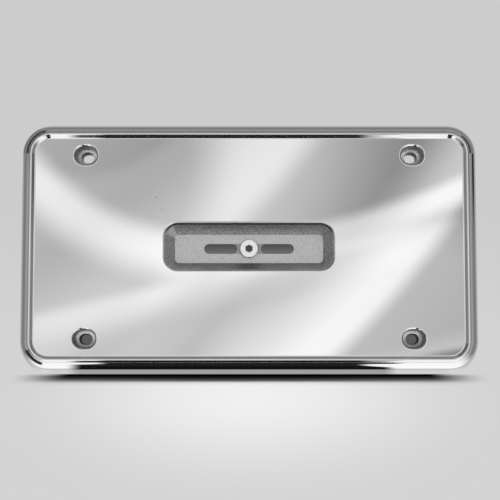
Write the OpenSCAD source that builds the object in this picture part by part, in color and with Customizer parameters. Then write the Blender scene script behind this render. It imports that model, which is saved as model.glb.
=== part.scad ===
// Number plate holder: a chromed moulding with a beaded rim, a plate field,
// four oblong screw wells and a drafted centre pocket with two mounting slots.
// Modelled face up and then stood upright: +X across, +Z up, front towards -Y.
// Y = 0 is the rear plane, which the rim, the wells and the pocket all reach.

/* [Number plate] */
// Width of the number plate that lies on the field
plate_w = 304.8; // [260:0.1:360]
// Height of the number plate that lies on the field
plate_h = 152.4; // [140:0.1:200]
// Play in width between the number plate and the flat field's edge
plate_play_w = 2.4; // [0.4:0.1:4]
// Play in height between the number plate and the flat field's edge
plate_play_h = 3.4; // [0.4:0.1:4]

/* [Shell] */
// Depth from the rear plane to the field
depth = 22.5; // [19:0.5:30]
// Wall thickness of the moulding
wall = 2.5; // [2:0.1:3]
// Corner radius of the flat field
field_corner_r = 10.6; // [8:0.1:20]

/* [Rim] */
// Radius of the fillet between the field and the bead
fillet_r = 1.6; // [1.5:0.1:2.4]
// Radius of the bead's round crest
bead_r = 1.5; // [1.4:0.1:1.6]
// Height of the bead's centre above the field
bead_lift = 1.25; // [1.1:0.05:1.4]
// Radius of the rounded shoulder outside the bead
shoulder_r = 6.8; // [6.5:0.1:8]
// How far the shoulder's crown stands above the field
shoulder_lift = 1; // [0.8:0.05:1.2]
// Width of the shoulder's crown that the bead hides
shoulder_tuck = 1.2; // [1:0.1:1.4]
// Radius of the fine groove between the bead and the shoulder
groove_r = 0.4; // [0.2:0.05:0.6]
// How far the skirt flares out towards the rear
flare = 3; // [2:0.1:5]
// Height above the rear plane where the flare starts
flare_h = 9.8; // [6:0.1:12]

/* [Screw wells] */
// Distance between the wells' centres across the plate
well_spacing_w = 235; // [210:1:250]
// Distance between the wells' centres up the plate
well_spacing_h = 132; // [120:1:134]
// Radius of a well's round ends at its mouth
well_r = 6.55; // [6:0.05:7]
// How much wider a well is than it is tall
well_stretch = 2.8; // [1.8:0.1:5]
// How much a well narrows on each side on its way down to the seat
well_draft = 0.8; // [0.4:0.05:1.2]
// Height above the rear plane of the seat that a screw's head rests on
seat_h = 10.5; // [8:0.5:12]
// Radius of the throat's round ends, where it leaves the seat
throat_r = 4; // [3.6:0.1:4.4]
// Radius of the round ends of the screw slot at the rear
screw_slot_r = 3.3; // [2.5:0.05:3.5]
// How much wider the throat and its screw slot are than they are tall
screw_slot_stretch = 1.7; // [0:0.1:3]
// Height of the screw slot's straight part at the rear
slot_land = 4; // [2:0.5:5]
// Wall round a well, seen from the rear
boss_wall = 2; // [1.5:0.1:3]
// Radius of the rounded edges where wells and pocket break the field
edge_r = 1.5; // [0.8:0.1:1.8]

/* [Pocket] */
// Width of the pocket's mouth between its straight walls
pocket_w = 121.8; // [100:0.2:140]
// Height of the pocket's mouth between its straight walls
pocket_h = 34.3; // [28:0.1:44]
// Corner radius of the pocket's mouth
pocket_corner_r = 9.8; // [8:0.1:12]
// How far each wall leans inwards on its way to the floor
pocket_draft = 6.8; // [4:0.1:7.5]

/* [Mounting slots] */
// Distance between the far ends of the two slots
slot_reach = 65.6; // [56:0.2:80]
// Radius of the slots' round ends
slot_r = 3.6; // [3.2:0.05:4]
// Width of the bridge between the slots
bridge_w = 17.2; // [14:0.2:24]
// How far the bridge lies below the pocket's floor
bridge_drop = 0.8; // [0.4:0.1:1.2]

/* [Ribs] */
// Thickness of the ribs behind the field
rib_t = 1.8; // [1.2:0.1:2.4]
// Height of the ribs behind the field
rib_h = 9; // [5:0.5:14]
// Distance of the ribs above and below the pocket from the middle
rib_inner = 36; // [24:1:44]

/* [Captive screw] */
// Thread diameter of the centre screw
screw_d = 6; // [5:0.5:6]
// Length of the screw under its head
screw_len = 16; // [12:1:25]
// Diameter of the plain neck that turns in the bridge
neck_d = 4.8; // [3.8:0.1:4.9]
// How far the neck reaches out behind the rear plane
neck_out = 0.8; // [0.5:0.1:2]
// Clearance between the thread's crests and the tapped hole in the bridge, on the radius
thread_gap = 0.05; // [0.02:0.01:0.1]
// Diameter of the screw's head
head_d = 13.7; // [11:0.1:15]
// Height of the screw's head
head_h = 3.2; // [2.6:0.1:4]
// Radius of the rounded edge of the screw's head
head_edge_r = 0.8; // [0.4:0.1:1]
// Width across the flats of the hexagon socket
socket_af = 5; // [3:0.5:5]
// Depth of the hexagon socket
socket_depth = 2; // [1.6:0.1:2.2]

/* [Hidden] */
$fn = 96;
chrome = [0.82, 0.83, 0.84];
quarter = 90;
hex_sides = 6;
// Turns a hexagon so that a corner points up
hex_turn = 30;
// Distance from a hexagon's middle to its corners, from its width across the flats
function hex_corner(af) = af / 2 / cos(hex_turn);

// Field
field_half_w = (plate_w + plate_play_w) / 2;
field_half_h = (plate_h + plate_play_h) / 2;
corner_x = field_half_w - field_corner_r;
corner_y = field_half_h - field_corner_r;

// Rim section: x runs outwards from the corner centres, y up from the rear plane
fillet_x = field_corner_r;
fillet_y = depth + fillet_r;
bead_y = depth + bead_lift;
bead_x = fillet_x + sqrt(pow(fillet_r + bead_r, 2) - pow(fillet_r - bead_lift, 2));
// Where the fillet runs into the bead
blend = fillet_r / (fillet_r + bead_r);
blend_x = fillet_x + (bead_x - fillet_x) * blend;
blend_y = fillet_y + (bead_y - fillet_y) * blend;
shoulder_x = bead_x + bead_r - shoulder_tuck;
shoulder_y = depth + shoulder_lift - shoulder_r;
// Where the bead's side runs down to the shoulder
groove_x = bead_x + bead_r;
groove_y = shoulder_y + sqrt(pow(shoulder_r, 2) - pow(groove_x - shoulder_x, 2));
skirt_x = shoulder_x + shoulder_r;
lip_x = skirt_x + flare;
under = depth - wall;

// Pocket section, in the same way
pocket_x = pocket_w / 2 - pocket_corner_r;
pocket_y = pocket_h / 2 - pocket_corner_r;
floor_r = pocket_corner_r - pocket_draft;
lean = pocket_draft / (depth - wall);

// Wells
well_x = well_stretch / 2;
throat_x = screw_slot_stretch / 2;
boss_r = well_r + boss_wall;
// The boss steps in below the seat
throat_boss_r = throat_r + boss_wall;
boss_step = seat_h - boss_wall;

// Slots and bridge
slot_end_x = slot_reach / 2 - slot_r;
slot_near_x = bridge_w / 2 + slot_r;
floor_z = wall;
bridge_z = wall - bridge_drop;
hole_r = screw_d / 2 + thread_gap;

// Chamfer at the end of the screw
tip = 0.8;

// Ribs run into the walls that they join by this much
bite = 0.3;
rib_end_x = corner_x + skirt_x - wall + bite;
rib_end_y = corner_y + skirt_x - wall + bite;
rib_z = under - rib_h;

// How far a cutter runs past the face that it opens
over = 1;
// The skirt's inner face is set back square to the flare, which moves its knee
flare_wall = wall * sqrt(1 + pow(flare / flare_h, 2));
knee_y = flare_h * (1 - (flare_wall - wall) / flare);
// The pocket's walls lean, so their rounded mouth is set out square to the lean
lean_len = sqrt(1 + pow(lean, 2));
mouth_y = depth - edge_r;
mouth_x = floor_r + (mouth_y - wall) * lean + edge_r * lean_len;

// Sweeps a section round a rounded rectangle whose corner centres lie at +-half_x and
// +-half_y, and closes the middle between the heights low and high.
module sweep_round(half_x, half_y, low, high) {
    for (turn = [0, 180]) rotate(turn) {
        translate([half_x, half_y, 0]) rotate_extrude(angle = quarter) children();
        translate([-half_x, half_y, 0]) rotate(quarter) rotate_extrude(angle = quarter) children();
        translate([-half_x, half_y, 0]) rotate([quarter, 0, quarter]) linear_extrude(2 * half_x) children();
        if (half_y > 0)
            translate([half_x, half_y, 0]) rotate([quarter, 0, 0]) linear_extrude(2 * half_y) children();
    }
    if (half_y > 0)
        translate([-half_x, -half_y, low]) cube([2 * half_x, 2 * half_y, high - low]);
}

// An upright cutter or boss with round ends, centred, from low to high
module oblong(r, stretch, low, high) {
    translate([0, 0, low]) {
        for (side = [-1, 1]) translate([side * stretch / 2, 0, 0]) cylinder(h = high - low, r = r);
        translate([-stretch / 2, -r, 0]) cube([stretch, 2 * r, high - low]);
    }
}

// Section of the front wall, fillet, bead, shoulder and flared skirt
module rim_section() {
    difference() {
        union() {
            square([shoulder_x, depth]);
            translate([shoulder_x, shoulder_y]) circle(shoulder_r);
            polygon([
                [shoulder_x, 0], [lip_x, 0], [skirt_x, flare_h],
                [skirt_x, shoulder_y], [shoulder_x, shoulder_y]
            ]);
            polygon([
                [fillet_x, under], [fillet_x, depth], [blend_x, blend_y],
                [bead_x, bead_y], [bead_x, under]
            ]);
            translate([bead_x, bead_y]) circle(bead_r);
        }
        translate([fillet_x, fillet_y]) circle(fillet_r);
        translate([groove_x, groove_y]) circle(groove_r);
        rim_hollow();
    }
}

// What the rear of the rim section leaves open
module rim_hollow() {
    translate([0, -over]) square([shoulder_x, under + over]);
    translate([shoulder_x, shoulder_y]) circle(shoulder_r - wall);
    polygon([
        [0, -over], [lip_x - flare_wall, -over], [lip_x - flare_wall, 0],
        [skirt_x - wall, knee_y], [skirt_x - wall, shoulder_y], [0, shoulder_y]
    ]);
}

// Section of the pocket's space, with its mouth rounded over onto the field
module pocket_section() {
    difference() {
        polygon([
            [0, wall], [floor_r, wall],
            [mouth_x - edge_r / lean_len, mouth_y + edge_r * lean / lean_len],
            [mouth_x, depth], [mouth_x, depth + over], [0, depth + over]
        ]);
        translate([mouth_x, mouth_y]) circle(edge_r);
    }
}

// Section of the pocket's tub, as seen from the rear
module tub_section() {
    top = under + bite;
    polygon([
        [0, 0], [floor_r - wall * lean + wall * lean_len, 0],
        [floor_r + (top - wall) * lean + wall * lean_len, top], [0, top]
    ]);
}

// Section of a well's space above its seat, with its mouth rounded over onto the field
module well_section() {
    difference() {
        polygon([
            [0, seat_h], [well_r - well_draft, seat_h], [well_r, depth - edge_r],
            [well_r + edge_r, depth], [well_r + edge_r, depth + over], [0, depth + over]
        ]);
        translate([well_r + edge_r, depth - edge_r]) circle(edge_r);
    }
}

// Section of the tapered throat below the seat, with the straight screw slot at its end
module throat_section() {
    polygon([
        [0, -over], [screw_slot_r, -over], [screw_slot_r, slot_land],
        [throat_r, seat_h], [throat_r, seat_h + over], [0, seat_h + over]
    ]);
}

// Repeats what it holds at the four wells
module at_wells() {
    for (side = [-1, 1], end = [-1, 1])
        translate([side * well_spacing_w / 2, end * well_spacing_h / 2, 0]) children();
}

// A rib behind the field between two corners of its plan
module rib(x0, y0, x1, y1) {
    translate([x0, y0, rib_z]) cube([x1 - x0, y1 - y0, rib_h + bite]);
}

// The lattice of ribs: rows and columns through the wells, and ribs out from the pocket's tub
module ribs() {
    half = rib_t / 2;
    row = well_spacing_h / 2;
    column = well_spacing_w / 2;
    for (turn = [0, 180]) rotate(turn) {
        rib(-rib_end_x, row - half, rib_end_x, row + half);
        rib(column - half, -rib_end_y, column + half, rib_end_y);
        rib(pocket_x, -half, rib_end_x, half);
        for (side = [-1, 1])
            rib(side * rib_inner - half, pocket_y, side * rib_inner + half, rib_end_y);
    }
}

// The two mounting slots, joined on the pocket's floor by the shallow bed of the bridge
module slots() {
    oblong(slot_r, 2 * slot_end_x, bridge_z, floor_z + over);
    for (side = [-1, 1])
        translate([side * (slot_end_x + slot_near_x) / 2, 0, 0])
            oblong(slot_r, slot_end_x - slot_near_x, -over, floor_z);
    translate([0, 0, -over]) cylinder(h = over + floor_z, r = hole_r);
}

// Turns what was modelled face up so that its face looks towards -Y
module upright() {
    rotate([quarter, 0, 0]) children();
}

module holder_body() {
    color(chrome) upright() difference() {
        union() {
            sweep_round(corner_x, corner_y, under, depth) rim_section();
            sweep_round(pocket_x, pocket_y, 0, under + bite) tub_section();
            at_wells() oblong(boss_r, well_stretch, boss_step, under + bite);
            at_wells() oblong(throat_boss_r, screw_slot_stretch, 0, boss_step + bite);
            ribs();
        }
        sweep_round(pocket_x, pocket_y, wall, depth + over) pocket_section();
        at_wells() sweep_round(well_x, 0, 0, 0) well_section();
        at_wells() sweep_round(throat_x, 0, 0, 0) throat_section();
        slots();
    }
}

// Section of the screw's plain neck and thread, up from the tip
module shank_section() {
    screw_r = screw_d / 2;
    neck_r = neck_d / 2;
    thread_top = screw_len - floor_z - neck_out;
    polygon([
        [0, 0], [screw_r - tip, 0], [screw_r, tip], [screw_r, thread_top - screw_r + neck_r],
        [neck_r, thread_top], [neck_r, screw_len], [0, screw_len]
    ]);
}

// Section of the flat-faced head with its rounded edge, up from the pocket's floor
module head_section() {
    head_r = head_d / 2;
    square([head_r, head_h - head_edge_r]);
    square([head_r - head_edge_r, head_h]);
    translate([head_r - head_edge_r, head_h - head_edge_r]) circle(head_edge_r);
}

module centre_screw() {
    color(chrome) upright() difference() {
        union() {
            translate([0, 0, floor_z]) rotate_extrude() head_section();
            translate([0, 0, floor_z - screw_len]) rotate_extrude() shank_section();
        }
        translate([0, 0, floor_z + head_h - socket_depth]) rotate(hex_turn)
            cylinder(h = socket_depth + over, r = hex_corner(socket_af), $fn = hex_sides);
    }
}

holder_body();
centre_screw();
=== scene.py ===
import math

import bmesh
import bpy
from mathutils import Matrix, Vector


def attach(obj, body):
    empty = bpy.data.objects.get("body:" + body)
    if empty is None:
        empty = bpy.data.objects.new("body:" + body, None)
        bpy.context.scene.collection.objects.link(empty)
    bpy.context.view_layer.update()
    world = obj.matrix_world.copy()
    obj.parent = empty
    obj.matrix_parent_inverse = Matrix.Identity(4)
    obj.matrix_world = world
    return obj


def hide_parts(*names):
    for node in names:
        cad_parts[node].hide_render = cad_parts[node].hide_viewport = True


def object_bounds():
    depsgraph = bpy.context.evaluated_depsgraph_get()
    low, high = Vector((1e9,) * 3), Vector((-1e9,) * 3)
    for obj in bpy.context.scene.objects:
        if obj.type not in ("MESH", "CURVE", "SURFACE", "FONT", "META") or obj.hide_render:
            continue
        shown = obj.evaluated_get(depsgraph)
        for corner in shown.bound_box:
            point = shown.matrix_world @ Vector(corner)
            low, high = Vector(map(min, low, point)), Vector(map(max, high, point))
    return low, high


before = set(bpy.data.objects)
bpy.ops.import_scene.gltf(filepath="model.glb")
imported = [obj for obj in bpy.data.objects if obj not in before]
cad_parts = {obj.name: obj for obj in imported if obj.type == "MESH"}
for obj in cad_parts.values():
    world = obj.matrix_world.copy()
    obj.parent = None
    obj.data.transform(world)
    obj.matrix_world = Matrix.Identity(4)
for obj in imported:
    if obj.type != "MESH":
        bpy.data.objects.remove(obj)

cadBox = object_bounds()
print("frame loaded:", sorted(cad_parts))

# The photographer's place, low in front of the holder, in metres
shot = {"place": (0.0007, -0.9823, -0.0872), "tilt": math.radians(95.04), "lens": 96.94, "film": 36}


def makeCamera():
    bpy.context.scene.view_settings.view_transform = "Standard"
    data = bpy.data.cameras.new("camera")
    data.lens = shot["lens"]
    data.sensor_width = shot["film"]
    camera = bpy.data.objects.new("camera", data)
    camera.location = shot["place"]
    camera.rotation_euler = (shot["tilt"], 0, 0)
    bpy.context.scene.collection.objects.link(camera)
    bpy.context.scene.camera = camera
    print("camera placed")


def feed(tree, socket, value):
    # a number or colour is set on the socket, anything else is wired to it
    if isinstance(value, (int, float, tuple)):
        socket.default_value = value
    else:
        tree.links.new(value, socket)


def sums(tree, kind, first, second=0.0, clamp=False):
    node = tree.nodes.new("ShaderNodeMath")
    node.operation = kind
    node.use_clamp = clamp
    feed(tree, node.inputs[0], first)
    feed(tree, node.inputs[1], second)
    return node.outputs[0]


def times(tree, product, *others):
    for other in others:
        product = sums(tree, "MULTIPLY", product, other)
    return product


def spread(tree, x, z):
    return sums(tree, "ADD", times(tree, x, x), times(tree, z, z))


def ease(tree, value, low, high, start=0.0, end=1.0):
    # goes softly from start to end as the value goes from low to high
    node = tree.nodes.new("ShaderNodeMapRange")
    node.interpolation_type = "SMOOTHSTEP"
    feed(tree, node.inputs["Value"], value)
    node.inputs["From Min"].default_value = low
    node.inputs["From Max"].default_value = high
    feed(tree, node.inputs["To Min"], start)
    feed(tree, node.inputs["To Max"], end)
    return node.outputs["Result"]


def fade(tree, share, first, second):
    # first where the share is 0, second where it is 1
    rest = sums(tree, "SUBTRACT", 1.0, share)
    return sums(tree, "ADD", times(tree, rest, first), times(tree, share, second))


def around(middle, margins):
    # a range about a middle, from how far it starts before that and ends after it
    return middle - margins[0], middle + margins[1]


# The grey that the camera sees behind the holder, which changes over the first rise of a ray, and
# the soft light that comes from above
backdrop = {"low": 0.655, "top": 0.605, "rise": 0.14}
skyLight = {"rise": (0.02, 0.75), "levels": (0.02, 0.85)}

# Here and in the strips a direction is the tangent from straight ahead, across and up, which
# leastAhead keeps bounded. The wall in front has a level at a middle height, slants across and up
# from there, and is even past its reach.
wall = {"level": 0.33, "across": -1.0, "up": 0.64, "middle": 0.09, "reach": 0.17, "leastAhead": 0.05}
# Soft strips on that wall, which the flat field mirrors. A strip has a middle, a turn, a bend, a
# flat half width, a soft width below and above it, and a level, which darkens if it is negative.
strips = [
    {"middle": (-0.124, 0.112), "turn": -0.55, "bend": 3.2,
     "flat": 0.003, "below": 0.030, "above": 0.020, "level": 0.38},
    {"middle": (-0.116, 0.044), "turn": 0.23, "bend": 0.0,
     "flat": 0.000, "below": 0.025, "above": 0.012, "level": 0.19},
    {"middle": (0.005, 0.167), "turn": 1.65, "bend": 4.5,
     "flat": 0.009, "below": 0.120, "above": 0.048, "level": 0.25},
    {"middle": (0.134, 0.106), "turn": 0.93, "bend": 0.7,
     "flat": 0.003, "below": 0.017, "above": 0.047, "level": 0.42},
    {"middle": (0.077, 0.029), "turn": 0.42, "bend": -2.2,
     "flat": 0.032, "below": 0.007, "above": 0.039, "level": 0.34},
    {"middle": (-0.156, 0.004), "turn": 0.53, "bend": 0.8,
     "flat": 0.000, "below": 0.026, "above": 0.072, "level": 0.26},
    {"middle": (0.152, 0.010), "turn": 0.28, "bend": 0.0,
     "flat": 0.003, "below": 0.020, "above": 0.018, "level": 0.13},
    {"middle": (-0.128, 0.158), "turn": 0.0, "bend": 6.0,
     "flat": 0.006, "below": 0.018, "above": 0.050, "level": -0.09},
]
headLight = {"up": 0.089, "flat": 0.012, "soft": 0.006, "level": 0.28}    # what the screw's head shows
# The wall ends a little outside what the field mirrors: sideways and upwards, downwards, and by how
# far a ray turns from straight ahead
wallEnds = {"beyond": (0.185, 0.23), "below": (-0.04, -0.002), "turned": (-0.9, -0.8)}

# Levels of the rest of the room above, at the sides and below, by the angle from straight ahead in
# degrees
overRings = [(0, 0.55), (10, 0.84), (28, 0.84), (37, 0.38), (47, 0.15), (56, 0.32), (70, 0.26),
             (87, 0.18), (108, 0.28), (139, 0.45), (180, 0.55)]
sideRings = [(0, 0.55), (12, 0.64), (32, 0.62), (42, 0.45), (52, 0.30), (62, 0.23), (84, 0.19),
             (95, 0.21), (114, 0.35), (150, 0.48), (180, 0.58)]
underRings = [(0, 0.70), (9, 0.84), (24, 0.94), (45, 1.0), (100, 1.05), (118, 0.84), (140, 0.42),
              (147, 0.74), (180, 0.30)]
gapRings = [(0, 0.70), (8, 0.62), (20, 0.38), (31, 0.05), (44, 0.008), (64, 0.02), (76, 0.006),
            (142, 0.006), (145, 0.38), (180, 0.20)]
# A swing is -1 straight down and 1 straight up. Over these the lower levels change to those of the
# sides, and those of the sides to the upper.
swings = {"toSide": (-0.93, -0.38), "toOver": (0.35, 0.75), "least": 0.0001}
# The dark gap under the holder, seen in its lower rim: its left and right ends, and how much
# further each lies over a range of the cosine from straight ahead
gap = {
    "left": 0.104, "leftDeep": 0.020, "leftDeepTurn": (0.60, 0.72),
    "right": 0.078, "rightNear": 0.027, "rightNearTurn": (0.66, 0.76),
    "rightDeep": 0.020, "rightDeepTurn": (-0.10, 0.50), "soft": 0.012,
}

# Dark things at the room's sides, which the rounded rim shows: the side, from and to as the cosine
# from straight ahead, from and to as the swing upwards, the nearest x on that side, and a level
darkSpots = [
    {"side": -1, "turn": (0.26, 0.755), "swing": (-0.93, -0.28), "x": 0.30, "level": 0.025},
    {"side": -1, "turn": (0.30, 0.78), "swing": (0.20, 0.97), "x": 0.16, "level": 0.05},
    {"side": -1, "turn": (-0.52, -0.26), "swing": (0.20, 0.92), "x": 0.25, "level": 0.07},
    {"side": 1, "turn": (-0.20, 0.32), "swing": (0.105, 0.20), "x": 0.85, "level": 0.01},
    {"side": 1, "turn": (0.47, 0.71), "swing": (0.22, 0.80), "x": 0.45, "level": 0.03},
]
# How far before and after its ends a spot fades
spotSoft = {
    "turnFrom": (0.02, 0.04), "turnTo": (0.03, 0.01),
    "swingFrom": (0.02, 0.04), "swingTo": (0.05, 0.0), "x": (0.05, 0.05),
}


def stripLevel(tree, across, up, strip):
    turnCos, turnSin = math.cos(strip["turn"]), math.sin(strip["turn"])
    dx = sums(tree, "SUBTRACT", across, strip["middle"][0])
    dz = sums(tree, "SUBTRACT", up, strip["middle"][1])
    along = sums(tree, "ADD", times(tree, dx, turnCos), times(tree, dz, turnSin))
    off = sums(tree, "SUBTRACT", times(tree, dz, turnCos), times(tree, dx, turnSin))
    off = sums(tree, "SUBTRACT", off, times(tree, along, along, strip["bend"]))
    rise = ease(tree, off, -strip["flat"] - strip["below"], -strip["flat"])
    fall = ease(tree, off, strip["flat"], strip["flat"] + strip["above"], 1.0, 0.0)
    return times(tree, rise, fall, strip["level"])


def ringLevel(tree, cosine, rings):
    ramp = tree.nodes.new("ShaderNodeValToRGB")
    tree.links.new(times(tree, sums(tree, "ADD", cosine, 1.0), 0.5), ramp.inputs["Fac"])
    points = ramp.color_ramp.elements
    stops = sorted(((math.cos(math.radians(angle)) + 1) / 2, level) for angle, level in rings)
    while len(points) < len(stops):
        points.new(1.0)
    for point, (place, level) in zip(points, stops):
        point.position = place
        point.color = (level, level, level, 1)
    return ramp.outputs["Color"]


def wallLevel(tree, across, up):
    # the wall in front, with its soft strips and what the screw's head shows
    reach = wall["reach"]
    nearX = sums(tree, "MINIMUM", sums(tree, "MAXIMUM", across, -reach), reach)
    nearZ = sums(tree, "MINIMUM", sums(tree, "MAXIMUM", up, 0.0), reach)
    slantX = times(tree, nearX, wall["across"])
    slantZ = times(tree, sums(tree, "SUBTRACT", nearZ, wall["middle"]), wall["up"])
    level = sums(tree, "ADD", sums(tree, "ADD", slantX, slantZ), wall["level"])
    for strip in strips:
        level = sums(tree, "ADD", level, stripLevel(tree, across, up, strip))
    away = sums(tree, "SQRT", spread(tree, across, sums(tree, "SUBTRACT", up, headLight["up"])))
    edge = headLight["flat"] + headLight["soft"]
    return sums(tree, "ADD", level, ease(tree, away, headLight["flat"], edge, headLight["level"], 0.0))


def underLevel(tree, x, cosine):
    # what lies below, which is dark between the two ends of the gap
    under, dark = ringLevel(tree, cosine, underRings), ringLevel(tree, cosine, gapRings)
    left = sums(tree, "ADD", ease(tree, cosine, *gap["leftDeepTurn"], gap["leftDeep"], 0.0), gap["left"])
    right = sums(tree, "ADD", ease(tree, cosine, *gap["rightNearTurn"], 0.0, gap["rightNear"]), gap["right"])
    right = sums(tree, "ADD", ease(tree, cosine, *gap["rightDeepTurn"], gap["rightDeep"], 0.0), right)
    pastLeft = ease(tree, sums(tree, "ADD", x, left), -gap["soft"], 0.0, 1.0, 0.0)
    pastRight = ease(tree, sums(tree, "SUBTRACT", x, right), 0.0, gap["soft"])
    return fade(tree, sums(tree, "MAXIMUM", pastLeft, pastRight), dark, under)


def spotShare(tree, x, cosine, swing, spot):
    share = ease(tree, cosine, *around(spot["turn"][0], spotSoft["turnFrom"]))
    share = times(tree, share, ease(tree, cosine, *around(spot["turn"][1], spotSoft["turnTo"]), 1.0, 0.0))
    share = times(tree, share, ease(tree, swing, *around(spot["swing"][0], spotSoft["swingFrom"])))
    share = times(tree, share, ease(tree, swing, *around(spot["swing"][1], spotSoft["swingTo"]), 1.0, 0.0))
    out = times(tree, x, spot["side"])
    return times(tree, share, ease(tree, out, *around(spot["x"], spotSoft["x"])))


def makeRoom():
    world = bpy.data.worlds.new("room")
    bpy.context.scene.world = world
    world.use_nodes = True
    tree = world.node_tree
    tree.nodes.clear()
    split = tree.nodes.new("ShaderNodeSeparateXYZ")
    tree.links.new(tree.nodes.new("ShaderNodeTexCoord").outputs["Generated"], split.inputs[0])
    x, y, z = split.outputs
    cosine = times(tree, y, -1.0)
    ahead = sums(tree, "MAXIMUM", cosine, wall["leastAhead"])
    across = sums(tree, "DIVIDE", x, ahead)
    up = sums(tree, "DIVIDE", z, ahead)
    front = wallLevel(tree, across, up)

    # the rest of the room, by how far a direction turns from straight ahead and where it swings to
    flat = sums(tree, "SQRT", sums(tree, "MAXIMUM", spread(tree, x, z), swings["least"]))
    swing = sums(tree, "DIVIDE", z, flat)
    under, side = underLevel(tree, x, cosine), ringLevel(tree, cosine, sideRings)
    level = fade(tree, ease(tree, swing, *swings["toSide"]), under, side)
    level = fade(tree, ease(tree, swing, *swings["toOver"]), level, ringLevel(tree, cosine, overRings))
    for spot in darkSpots:
        level = fade(tree, spotShare(tree, x, cosine, swing, spot), level, spot["level"])

    outer = ease(tree, sums(tree, "ABSOLUTE", across), *wallEnds["beyond"])
    outer = sums(tree, "MAXIMUM", outer, ease(tree, up, *wallEnds["beyond"]))
    outer = sums(tree, "MAXIMUM", outer, ease(tree, up, *wallEnds["below"], 1.0, 0.0))
    outer = sums(tree, "MAXIMUM", outer, ease(tree, y, *wallEnds["turned"]))
    level = fade(tree, outer, front, level)

    # reflections see the room, the camera a plain grey, and all other rays the light from above
    rays = tree.nodes.new("ShaderNodeLightPath")
    light = ease(tree, z, *skyLight["rise"], *skyLight["levels"])
    grey = ease(tree, z, 0.0, backdrop["rise"], backdrop["low"], backdrop["top"])
    level = fade(tree, rays.outputs["Is Glossy Ray"], light, level)
    level = fade(tree, rays.outputs["Is Camera Ray"], level, grey)
    shade = tree.nodes.new("ShaderNodeBackground")
    shade.inputs["Color"].default_value = (1, 1, 1, 1)
    tree.links.new(level, shade.inputs["Strength"])
    out = tree.nodes.new("ShaderNodeOutputWorld")
    tree.links.new(shade.outputs[0], out.inputs["Surface"])
    print("room made:", len(strips), "strips,", len(darkSpots), "dark spots")


# A small round lamp above the holder, which the chrome doesn't mirror
lamp = {"place": (0.0, -0.17, 0.55), "aim": (0.0, -0.03, -0.09), "size": 0.12, "watts": 2.4}


def makeLamp():
    data = bpy.data.lights.new("overhead", "AREA")
    data.shape = "DISK"
    data.size = lamp["size"]
    data.energy = lamp["watts"]
    light = bpy.data.objects.new("overhead", data)
    light.location = lamp["place"]
    light.rotation_euler = (Vector(lamp["aim"]) - Vector(lamp["place"])).to_track_quat("-Z", "Y").to_euler()
    light.visible_glossy = False
    bpy.context.scene.collection.objects.link(light)
    print("lamp hung")


# A pale floor that is level behind the holder and falls away in front of it. From near to far from
# the holder's foot, what the camera sees of it changes to the backdrop's grey, sooner at the sides.
floorMake = {
    "width": 6.0, "back": 3.0, "front": 1.2, "drop": math.radians(14), "brow": 0.002, "browSteps": 8,
    "grey": 0.80, "near": 0.03, "far": 0.30, "narrow": 1.7,
}
# A painted contact shadow: how far the floor's colour is darkened towards the holder's front edge, by
# the distance out in front of it. Past a half length that fades out, and under the rounded corners it fades
# sooner.
paintedShadow = {
    "reach": 0.040, "half": 0.130, "soft": 0.044, "behind": 0.020,
    "cornerSoft": 0.020, "cornerShare": 0.8, "cornerDeep": 0.008,
    "levels": [(0, 0.0), (0.006, 0.004), (0.012, 0.036), (0.0175, 0.20), (0.0203, 0.40),
               (0.0232, 0.64), (0.0268, 0.88), (0.033, 1.0)],
}


def paintedShadowLevel(tree, x, y):
    # painted shadow: dark along the line that the holder stands on, less so past its rounded corners
    c = paintedShadow
    ramp = tree.nodes.new("ShaderNodeValToRGB")
    ahead = sums(tree, "DIVIDE", times(tree, y, -1.0), c["reach"], clamp=True)
    tree.links.new(ahead, ramp.inputs["Fac"])
    points = ramp.color_ramp.elements
    while len(points) < len(c["levels"]):
        points.new(1.0)
    for point, (away, level) in zip(points, c["levels"]):
        point.position = away / c["reach"]
        point.color = (level, level, level, 1)
    sideX = sums(tree, "ABSOLUTE", x)
    beyond = ease(tree, sideX, c["half"], c["half"] + c["soft"])
    level = fade(tree, beyond, ramp.outputs["Color"], 1.0)
    level = fade(tree, ease(tree, y, 0.0, c["behind"]), level, 1.0)
    outer = ease(tree, sideX, c["half"], c["half"] + c["cornerSoft"], 0.0, c["cornerShare"])
    return fade(tree, times(tree, outer, ease(tree, y, -c["cornerDeep"], 0.0)), level, 1.0)


def floorFinish():
    material = bpy.data.materials.new("floor_paper")
    material.use_nodes = True
    tree = material.node_tree
    tree.nodes.clear()
    split = tree.nodes.new("ShaderNodeSeparateXYZ")
    tree.links.new(tree.nodes.new("ShaderNodeNewGeometry").outputs["Position"], split.inputs[0])
    x, y, _ = split.outputs
    level = paintedShadowLevel(tree, x, y)
    paper = tree.nodes.new("ShaderNodeBsdfDiffuse")
    tree.links.new(times(tree, level, floorMake["grey"]), paper.inputs["Color"])
    # far off, the floor shows the same grey as the backdrop
    plain = tree.nodes.new("ShaderNodeEmission")
    tree.links.new(times(tree, level, backdrop["low"]), plain.inputs["Color"])
    away = sums(tree, "SQRT", spread(tree, times(tree, x, floorMake["narrow"]), y))
    away = ease(tree, away, floorMake["near"], floorMake["far"])
    seen = tree.nodes.new("ShaderNodeLightPath").outputs["Is Camera Ray"]
    mix = tree.nodes.new("ShaderNodeMixShader")
    tree.links.new(times(tree, away, seen), mix.inputs[0])
    tree.links.new(paper.outputs[0], mix.inputs[1])
    tree.links.new(plain.outputs[0], mix.inputs[2])
    out = tree.nodes.new("ShaderNodeOutputMaterial")
    tree.links.new(mix.outputs[0], out.inputs["Surface"])
    return material


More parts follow.
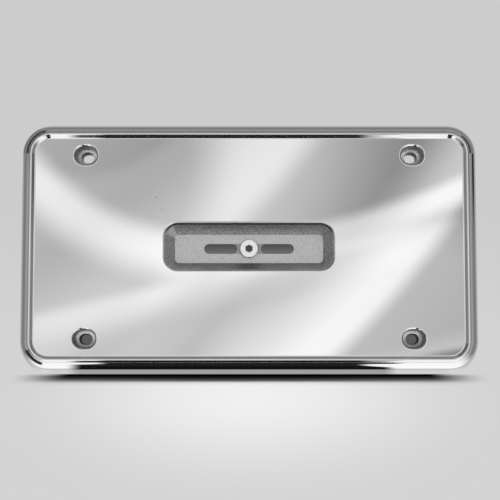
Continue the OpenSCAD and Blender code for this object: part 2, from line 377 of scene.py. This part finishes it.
def makeFloor():
    low = cadBox[0].z
    half = floorMake["width"] / 2
    fall = math.tan(floorMake["drop"])
    brow, steps = floorMake["brow"], floorMake["browSteps"]
    rows = [(floorMake["back"], low), (0.0, low)]
    # a short rounded brow under the holder's edge, then an even slope
    for step in range(1, steps + 1):
        run = brow * step / steps
        rows.append((-run, low - fall * run * run / (2 * brow)))
    rows.append((-floorMake["front"], low - fall * (floorMake["front"] - brow / 2)))
    mesh = bpy.data.meshes.new("floor")
    points = [(side * half, y, z) for y, z in rows for side in (-1, 1)]
    faces = [(2 * n, 2 * n + 1, 2 * n + 3, 2 * n + 2) for n in range(len(rows) - 1)]
    mesh.from_pydata(points, [], faces)
    mesh.flip_normals()
    for face in mesh.polygons:
        face.use_smooth = True
    mesh.materials.append(floorFinish())
    floor = bpy.data.objects.new("floor", mesh)
    bpy.context.scene.collection.objects.link(floor)
    floor.visible_glossy = False
    print("floor laid")


# Cards just behind the slots and the lower wells that glow a dim grey as painted shade seen through
# those openings, and are seen from the front only: their half sizes, and their glowing levels at the
# bottom and the top of the opening, which is twice "open" high
shadeCards = {
    "behind": 0.004, "open": 0.0036,
    "slots": {"halfX": 0.036, "halfZ": 0.007, "low": 0.150, "high": 0.082},
    "wells": {"halfX": 0.007, "halfZ": 0.0055, "low": 0.100, "high": 0.104},
}


def cardFinish(name, middle, low, high):
    material = bpy.data.materials.new("shade_" + name)
    material.use_nodes = True
    tree = material.node_tree
    tree.nodes.clear()
    geometry = tree.nodes.new("ShaderNodeNewGeometry")
    split = tree.nodes.new("ShaderNodeSeparateXYZ")
    tree.links.new(geometry.outputs["Position"], split.inputs[0])
    # the front glows as painted shade, from one level at the bottom of the opening to another at the top
    front = tree.nodes.new("ShaderNodeEmission")
    bottom, top = middle - shadeCards["open"], middle + shadeCards["open"]
    tree.links.new(ease(tree, split.outputs[2], bottom, top, low, high), front.inputs["Strength"])
    front.inputs["Color"].default_value = (1, 1, 1, 1)
    rear = tree.nodes.new("ShaderNodeBsdfTransparent")
    mix = tree.nodes.new("ShaderNodeMixShader")
    tree.links.new(geometry.outputs["Backfacing"], mix.inputs[0])
    tree.links.new(front.outputs[0], mix.inputs[1])
    tree.links.new(rear.outputs[0], mix.inputs[2])
    out = tree.nodes.new("ShaderNodeOutputMaterial")
    tree.links.new(mix.outputs[0], out.inputs["Surface"])
    return material


def makeCard(name, make, x, z):
    y = shadeCards["behind"]
    mesh = bpy.data.meshes.new("card_" + name)
    sides = [(-1, -1), (1, -1), (1, 1), (-1, 1)]
    corners = [(x + i * make["halfX"], y, z + k * make["halfZ"]) for i, k in sides]
    mesh.from_pydata(corners, [], [(0, 1, 2, 3)])
    mesh.materials.append(cardFinish(name, z, make["low"], make["high"]))
    card = bpy.data.objects.new("card_" + name, mesh)
    bpy.context.scene.collection.objects.link(card)
    card.visible_shadow = False


def makeShadeCards():
    makeCard("slots", shadeCards["slots"], 0, 0)
    makeCard("wells_left", shadeCards["wells"], -moulding["wellX"], -moulding["wellZ"])
    makeCard("wells_right", shadeCards["wells"], moulding["wellX"], -moulding["wellZ"])
    print("cards placed")


edgeSamples = 6    # for the slightly rounded edges of both metals


def startChrome(name, edge):
    # a metal with slightly rounded edges, and the object's own coordinates
    material = bpy.data.materials.new(name)
    material.use_nodes = True
    tree = material.node_tree
    shader = tree.nodes["Principled BSDF"]
    shader.inputs["Metallic"].default_value = 1.0
    bevel = tree.nodes.new("ShaderNodeBevel")
    bevel.samples = edgeSamples
    bevel.inputs["Radius"].default_value = edge
    place = tree.nodes.new("ShaderNodeTexCoord").outputs["Object"]
    split = tree.nodes.new("ShaderNodeSeparateXYZ")
    tree.links.new(place, split.inputs[0])
    x, y, z = split.outputs
    height = times(tree, y, -1.0)    # above the holder's rear plane
    return material, tree, shader, bevel.outputs["Normal"], place, (x, height, z)


def noiseBump(tree, place, scale, strength, distance, before, detail=2.0):
    noise = tree.nodes.new("ShaderNodeTexNoise")
    tree.links.new(place, noise.inputs["Vector"])
    noise.inputs["Scale"].default_value = scale
    noise.inputs["Detail"].default_value = detail
    bump = tree.nodes.new("ShaderNodeBump")
    feed(tree, bump.inputs["Strength"], strength)
    bump.inputs["Distance"].default_value = distance
    tree.links.new(noise.outputs["Fac"], bump.inputs["Height"])
    tree.links.new(before, bump.inputs["Normal"])
    return bump.outputs["Normal"], noise.outputs["Fac"]


def rectOutside(tree, x, z, halfX, halfZ):
    # distance outside a rectangle of those half sizes, for x and z that aren't negative
    dx = sums(tree, "MAXIMUM", sums(tree, "SUBTRACT", x, halfX), 0.0)
    dz = sums(tree, "MAXIMUM", sums(tree, "SUBTRACT", z, halfZ), 0.0)
    return sums(tree, "SQRT", spread(tree, dx, dz))


# What the moulding's finishes go by, in metres, with a lean as a slope: its corners' centres, the
# inside of its edge, the arc inside its shoulder, the pocket and the wells
moulding = {
    "cornerX": 0.1430, "cornerZ": 0.0673, "rear": 0.0001, "under": 0.0212,
    "innerWall": 0.0195, "flareFrom": 0.0096, "flareLean": 0.3061,
    "arcX": 0.0140, "arcY": 0.0167, "arcR": 0.0055,
    "pocketX": 0.0511, "pocketZ": 0.00735, "pocketFloorR": 0.0030, "pocketLean": 0.34,
    "pocketFloor": 0.0025, "pocketWall": 0.0013, "pocketLip": 0.0204,
    "wellX": 0.1175, "wellZ": 0.0660, "wellHalf": 0.0014, "wellR": 0.0076, "throatR": 0.0045,
    "wellLip": 0.0206, "seat": 0.0105, "underSeat": 0.0005, "seatThick": 0.0003, "lipSoft": 0.0003,
}
# Grey, roughness, how far it is metal, and the strength of flow marks, ripples and sand grain
finishes = {
    "polished": {"grey": 0.93, "rough": 0.018, "metal": 1.0, "flow": 0.006, "ripple": 0.0, "sand": 0.002},
    "back": {"grey": 0.70, "rough": 0.32, "metal": 1.0, "flow": 0.05, "ripple": 0.03, "sand": 0.10},
    "sanded": {"grey": 0.74, "rough": 0.40, "metal": 1.0, "flow": 0.0, "ripple": 0.10, "sand": 0.80},
    # the wells' insides are painted near black and hardly metal, as painted shade
    "paintedWellShade": {"grey": 0.07, "rough": 0.24, "metal": 0.09, "flow": 0.0, "ripple": 0.22, "sand": 0.05},
}
chromeMake = {
    "edge": 0.00012, "specular": 0.12,
    "flowScale": 9.0, "flowDeep": 0.001, "rippleScale": 260.0, "rippleDeep": 0.001,
    "sandScale": 850.0, "sandDeep": 0.0004, "sandDetail": 4.0, "sandSpan": (0.36, 0.64),
}


def mouldingMasks(tree, x, height, z):
    # where the rear, the sanded pocket, the wells and their seats are
    m = moulding
    soft = m["lipSoft"]
    sideX, sideZ = sums(tree, "ABSOLUTE", x), sums(tree, "ABSOLUTE", z)
    above = sums(tree, "GREATER_THAN", height, m["rear"])
    pocketEdge = sums(tree, "MAXIMUM", sums(tree, "SUBTRACT", height, m["pocketFloor"]), 0.0)
    pocketEdge = times(tree, pocketEdge, m["pocketLean"])
    pocketEdge = sums(tree, "ADD", pocketEdge, m["pocketFloorR"] + m["pocketWall"])
    pocket = rectOutside(tree, sideX, sideZ, m["pocketX"], m["pocketZ"])
    pocket = times(tree, sums(tree, "LESS_THAN", pocket, pocketEdge), above)
    belowLip = ease(tree, height, m["pocketLip"] - soft, m["pocketLip"] + soft, 1.0, 0.0)
    sanded = times(tree, pocket, belowLip)

    wellX = sums(tree, "ABSOLUTE", sums(tree, "SUBTRACT", sideX, m["wellX"]))
    wellZ = sums(tree, "ABSOLUTE", sums(tree, "SUBTRACT", sideZ, m["wellZ"]))
    well = rectOutside(tree, wellX, wellZ, m["wellHalf"], 0.0)
    behind = sums(tree, "LESS_THAN", height, m["seat"] - m["underSeat"])
    inside = fade(tree, behind, m["wellR"], m["throatR"])
    belowLip = ease(tree, height, m["wellLip"] - soft, m["wellLip"] + soft, 1.0, 0.0)
    # the inside of each well, which is painted dark as painted shade
    paintedWellShade = times(tree, sums(tree, "LESS_THAN", well, inside), above, belowLip)
    offSeat = sums(tree, "ABSOLUTE", sums(tree, "SUBTRACT", height, m["seat"]))
    seat = times(tree, paintedWellShade, sums(tree, "LESS_THAN", offSeat, m["seatThick"]))

    rim = rectOutside(tree, sideX, sideZ, m["cornerX"], m["cornerZ"])
    edge = sums(tree, "MAXIMUM", sums(tree, "SUBTRACT", m["flareFrom"], height), 0.0)
    edge = sums(tree, "ADD", times(tree, edge, m["flareLean"]), m["innerWall"])
    arc = spread(tree, sums(tree, "SUBTRACT", rim, m["arcX"]), sums(tree, "SUBTRACT", height, m["arcY"]))
    arc = sums(tree, "GREATER_THAN", sums(tree, "SQRT", arc), m["arcR"])
    arc = times(tree, arc, sums(tree, "GREATER_THAN", rim, m["arcX"]))
    arc = times(tree, arc, sums(tree, "GREATER_THAN", height, m["arcY"]))
    front = sums(tree, "MAXIMUM", sums(tree, "GREATER_THAN", height, m["under"]), arc)
    front = sums(tree, "MAXIMUM", front, sums(tree, "GREATER_THAN", rim, edge))
    return sums(tree, "SUBTRACT", 1.0, front), pocket, sanded, paintedWellShade, seat


# Tones of the sanded pocket, with heights above the rear plane and distances in metres. On its walls
# from low to high they are painted light and shade, with a painted shadow under the screw's head and a
# painted highlight in the upper left corner; its floor is grainy, with painted shade on the bridge
# between the slots. Its sides begin past the straight part of the pocket.
pocketMake = {
    "wallSpan": (0.004, 0.019), "wallTop": (1.00, 0.62), "wallLow": (0.44, 0.70), "wallSide": 0.84,
    "sideFrom": 0.0020, "sideTo": 0.0045, "mottle": (0.62, 1.38),
    "paintedHeadShadow": 0.40, "paintedHeadShadowSpan": (0.002, 0.014),
    "cornerHighlight": 2.4, "cornerHighlightStart": (0.05, 0.5), "cornerHighlightEnd": (1.05, 1.2),
    "foot": (0.0027, 0.0032), "grainScale": 1100.0, "grainSpan": (0.34, 0.66), "grainy": (0.90, 1.10),
    "bridge": 0.62, "bridgeTop": 0.0023, "bridgeHalf": 0.006,
}


def pocketWallPaintedShade(tree, x, height, z, sand):
    # painted shade: the pocket's leaning walls are painted darker than its floor, the upper and lower ones
    # differently and the lower one most under the screw's head, and are mottled by the sand
    m = pocketMake
    sideX = sums(tree, "ABSOLUTE", x)
    top = ease(tree, height, *m["wallSpan"], *m["wallTop"])
    low = ease(tree, height, *m["wallSpan"], *m["wallLow"])
    low = times(tree, low, ease(tree, sideX, *m["paintedHeadShadowSpan"], m["paintedHeadShadow"], 1.0))
    tone = fade(tree, sums(tree, "GREATER_THAN", z, 0.0), low, top)
    side = ease(tree, sideX, moulding["pocketX"] + m["sideFrom"], moulding["pocketX"] + m["sideTo"])
    tone = fade(tree, side, tone, m["wallSide"])
    tone = times(tree, tone, ease(tree, sand, *chromeMake["sandSpan"], *m["mottle"]))
    # painted highlight: the rounded upper left corner is painted brighter
    outX = times(tree, sums(tree, "ADD", x, moulding["pocketX"]), -1.0)
    outZ = sums(tree, "SUBTRACT", z, moulding["pocketZ"])
    turn = sums(tree, "ARCTAN2", outZ, outX)
    corner = times(tree, ease(tree, turn, *m["cornerHighlightStart"]), ease(tree, turn, *m["cornerHighlightEnd"], 1.0, 0.0))
    corner = times(tree, corner, sums(tree, "GREATER_THAN", outX, 0.0))
    return times(tree, tone, fade(tree, corner, 1.0, m["cornerHighlight"]))


def pocketFloorGrainAndShade(tree, place, height, z):
    # grainy, and painted darker on the bridge between the slots, as painted shade
    m = pocketMake
    grain = tree.nodes.new("ShaderNodeTexNoise")
    tree.links.new(place, grain.inputs["Vector"])
    grain.inputs["Scale"].default_value = m["grainScale"]
    tone = ease(tree, grain.outputs["Fac"], *m["grainSpan"], *m["grainy"])
    near = sums(tree, "LESS_THAN", sums(tree, "ABSOLUTE", z), m["bridgeHalf"])
    bridge = times(tree, sums(tree, "LESS_THAN", height, m["bridgeTop"]), near)
    return fade(tree, bridge, tone, m["bridge"])


# The pocket's upper lip, by heights above the rear plane and above its middle: the painted shadow
# along the edge under it, and the duller top
lipMake = {
    "darkFrom": (0.0188, 0.0194), "darkTo": (0.0216, 0.0219), "darkUp": (0.009, 0.013),
    "lipShadowGrey": 0.03, "lipShadowMetal": 0.08,
    "topFrom": (0.0216, 0.0219), "topTo": (0.02240, 0.02249), "half": 0.060, "upTo": 0.022, "rough": 0.34,
}


def paintedLipShadow(tree, height, z, pocket):
    m = lipMake
    # a painted shadow along the edge under the upper lip
    edge = times(tree, ease(tree, height, *m["darkFrom"]), ease(tree, height, *m["darkTo"], 1.0, 0.0))
    return times(tree, edge, pocket, ease(tree, z, *m["darkUp"]))


def topOfLip(tree, x, height, z):
    m = lipMake
    lip = times(tree, ease(tree, height, *m["topFrom"]), ease(tree, height, *m["topTo"], 1.0, 0.0))
    lip = times(tree, lip, sums(tree, "LESS_THAN", sums(tree, "ABSOLUTE", x), m["half"]))
    lip = times(tree, lip, sums(tree, "GREATER_THAN", z, 0.0))
    return times(tree, lip, sums(tree, "LESS_THAN", z, m["upTo"]))


specks = {"places": [(-0.0665, 0.0354), (-0.0625, 0.0268)], "radius": 0.0004, "grey": 0.35, "above": 0.0224}


def addSpecks(tree, grey, x, height, z):
    # dirt on the field
    for acrossAt, upAt in specks["places"]:
        off = spread(tree, sums(tree, "SUBTRACT", x, acrossAt), sums(tree, "SUBTRACT", z, upAt))
        dirt = sums(tree, "LESS_THAN", sums(tree, "SQRT", off), specks["radius"])
        dirt = times(tree, dirt, sums(tree, "GREATER_THAN", height, specks["above"]))
        grey = fade(tree, dirt, grey, specks["grey"])
    return grey


# Painted light and shade on the wells' seats
seatMake = {"mottle": (0.82, 1.16), "span": 0.004, "low": 0.34, "high": 0.86}


def seatLightAndShade(tree, z, sand):
    # patchy, and painted lighter at the top of each well than at its bottom, as painted light and shade
    m = seatMake
    lift = sums(tree, "SUBTRACT", sums(tree, "ABSOLUTE", z), moulding["wellZ"])
    lift = times(tree, lift, sums(tree, "SIGN", z))
    patchy = ease(tree, sand, *chromeMake["sandSpan"], *m["mottle"])
    return times(tree, patchy, ease(tree, lift, -m["span"], m["span"], m["low"], m["high"]))


def mouldingFinish():
    m = chromeMake
    material, tree, shader, normal, place, (x, height, z) = startChrome("chrome_moulding", m["edge"])
    back, pocket, sanded, paintedWellShade, seat = mouldingMasks(tree, x, height, z)

    def blend(key):
        value = fade(tree, back, finishes["polished"][key], finishes["back"][key])
        value = fade(tree, sanded, value, finishes["sanded"][key])
        return fade(tree, paintedWellShade, value, finishes["paintedWellShade"][key])

    flow, ripple, grain = blend("flow"), blend("ripple"), blend("sand")
    normal, _ = noiseBump(tree, place, m["flowScale"], flow, m["flowDeep"], normal)
    normal, _ = noiseBump(tree, place, m["rippleScale"], ripple, m["rippleDeep"], normal)
    normal, sand = noiseBump(tree, place, m["sandScale"], grain, m["sandDeep"], normal, m["sandDetail"])
    tree.links.new(normal, shader.inputs["Normal"])

    # the pocket's floor grain, and the painted light and shade on its walls and bridge
    onWall = ease(tree, height, *pocketMake["foot"])
    tone = pocketWallPaintedShade(tree, x, height, z, sand)
    tone = fade(tree, onWall, pocketFloorGrainAndShade(tree, place, height, z), tone)
    grey = sums(tree, "MULTIPLY", blend("grey"), fade(tree, sanded, 1.0, tone), clamp=True)
    # the painted shadow under the pocket's upper lip, then the dirt specks on the field
    dark = paintedLipShadow(tree, height, z, pocket)
    grey = addSpecks(tree, fade(tree, dark, grey, lipMake["lipShadowGrey"]), x, height, z)
    tree.links.new(fade(tree, seat, grey, seatLightAndShade(tree, z, sand)), shader.inputs["Base Color"])
    rough = fade(tree, topOfLip(tree, x, height, z), blend("rough"), lipMake["rough"])
    tree.links.new(rough, shader.inputs["Roughness"])
    metal = sums(tree, "MAXIMUM", blend("metal"), seat)
    tree.links.new(fade(tree, dark, metal, lipMake["lipShadowMetal"]), shader.inputs["Metallic"])
    shader.inputs["Specular IOR Level"].default_value = m["specular"]
    return material


def dressMoulding():
    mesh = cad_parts["holder_body"].data.copy()
    mesh.name = "chromed_moulding"
    mesh.materials.clear()
    mesh.materials.append(mouldingFinish())
    for face in mesh.polygons:
        face.material_index = 0
    piece = bpy.data.objects.new("chromed_moulding", mesh)
    bpy.context.scene.collection.objects.link(piece)
    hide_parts("holder_body")
    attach(piece, "root")
    print("moulding finished:", len(mesh.polygons), "faces")


# The screw's finish: greys outside and inside the socket, the inside one painted shade, the socket lying
# within a radius and between two heights, the roughness and how far it swings, and a fine grain
screwFinishMake = {
    "edge": 0.0001, "grey": 0.99, "socket": 0.10, "socketR": 0.0034, "low": 0.002, "top": 0.0055,
    "rough": 0.14, "roughSwing": 0.06, "grain": 0.06, "grainScale": 2500.0, "grainDeep": 0.0004,
    "grainSpan": (0.3, 0.7),
}


def screwFinish():
    m = screwFinishMake
    material, tree, shader, normal, place, (x, height, z) = startChrome("chrome_screw", m["edge"])
    normal, grain = noiseBump(tree, place, m["grainScale"], m["grain"], m["grainDeep"], normal)
    tree.links.new(normal, shader.inputs["Normal"])
    # painted shade: the hexagon socket is painted dark inside
    inside = sums(tree, "LESS_THAN", sums(tree, "SQRT", spread(tree, x, z)), m["socketR"])
    inside = times(tree, inside, sums(tree, "LESS_THAN", height, m["top"]))
    inside = times(tree, inside, sums(tree, "GREATER_THAN", height, m["low"]))
    tree.links.new(fade(tree, inside, m["grey"], m["socket"]), shader.inputs["Base Color"])
    smooth, coarse = m["rough"] - m["roughSwing"], m["rough"] + m["roughSwing"]
    tree.links.new(ease(tree, grain, *m["grainSpan"], smooth, coarse), shader.inputs["Roughness"])
    return material


screwMake = {
    "headR": 0.00685, "headTop": 0.0057, "headLow": 0.0025, "headEdge": 0.0008,
    "socket": 0.0050, "socketDeep": 0.0020, "socketEdge": 0.00012, "socketCone": 0.0005,
    "neckR": 0.0024, "crestR": 0.0030, "rootR": 0.00245, "pitch": 0.0010,
    "ridgeTop": 1.25, "ridgeFall": 2.875,    # in heights of the ridge, and per pitch
    "threadTop": -0.0008, "end": -0.0135, "endR": 0.0022,
    "sides": 96, "edgeSteps": 8, "turnSteps": 12, "sharpFrom": math.radians(32),
}


def threadRadius(turn, height):
    # a ridge with a narrow flat top that winds round, cut back where it runs in and out
    m = screwMake
    phase = (-height / m["pitch"] + turn / (2 * math.pi)) % 1.0
    ridge = max(0.0, min(1.0, m["ridgeTop"] - m["ridgeFall"] * abs(phase - 0.5)))
    radius = m["rootR"] + (m["crestR"] - m["rootR"]) * ridge
    return min(radius, m["neckR"] + m["threadTop"] - height, m["endR"] + height - m["end"])


def screwRings():
    # each ring is a height and the radius at each angle
    m = screwMake
    angles = [2 * math.pi * n / m["sides"] for n in range(m["sides"])]
    sector = math.pi / 3
    hexagon = [m["socket"] / 2 / math.cos((a + math.pi / 2) % sector - sector / 2) for a in angles]
    top, floor = m["headTop"], m["headTop"] - m["socketDeep"]
    rings = [(floor, hexagon), (top - m["socketEdge"], hexagon)]
    rings.append((top, [r + m["socketEdge"] for r in hexagon]))
    flat = m["headR"] - m["headEdge"]
    rings.append((top, [flat - m["socketEdge"]] * m["sides"]))
    for step in range(m["edgeSteps"] + 1):
        bow = math.pi / 2 * step / m["edgeSteps"]
        radius = flat + m["headEdge"] * math.sin(bow)
        rings.append((top - m["headEdge"] * (1 - math.cos(bow)), [radius] * m["sides"]))
    neck = [(m["headLow"], m["headR"]), (m["headLow"], m["neckR"]), (m["threadTop"], m["neckR"])]
    for height, radius in neck:
        rings.append((height, [radius] * m["sides"]))
    length = m["threadTop"] - m["end"]
    steps = round(length / m["pitch"] * m["turnSteps"])
    for step in range(1, steps + 1):
        height = m["threadTop"] - length * step / steps
        rings.append((height, [threadRadius(a, height) for a in angles]))
    return angles, rings


def makeScrew():
    m = screwMake
    angles, rings = screwRings()
    made = bmesh.new()
    rows = []
    for height, radii in rings:
        points = [(r * math.cos(a), -height, r * math.sin(a)) for a, r in zip(angles, radii)]
        rows.append([made.verts.new(point) for point in points])
    for first, second in zip(rows, rows[1:]):
        for n in range(m["sides"]):
            k = (n + 1) % m["sides"]
            made.faces.new((first[n], first[k], second[k], second[n]))
    ends = [(rows[0], rings[0][0] - m["socketCone"]), (rows[-1], rings[-1][0])]
    for row, height in ends:
        middle = made.verts.new((0, -height, 0))
        for n in range(m["sides"]):
            made.faces.new((middle, row[n], row[(n + 1) % m["sides"]]))
    bmesh.ops.recalc_face_normals(made, faces=made.faces)
    mesh = bpy.data.meshes.new("socket_screw")
    made.to_mesh(mesh)
    made.free()
    for face in mesh.polygons:
        face.use_smooth = True
    mesh.set_sharp_from_angle(angle=m["sharpFrom"])
    mesh.materials.append(screwFinish())
    piece = bpy.data.objects.new("socket_screw", mesh)
    bpy.context.scene.collection.objects.link(piece)
    even = piece.modifiers.new("even_faces", "WEIGHTED_NORMAL")
    even.keep_sharp = True
    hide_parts("centre_screw")
    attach(piece, "root")
    print("screw made:", len(mesh.polygons), "faces")


makeCamera()
makeRoom()
makeLamp()
makeFloor()
makeShadeCards()

dressMoulding()
makeScrew()
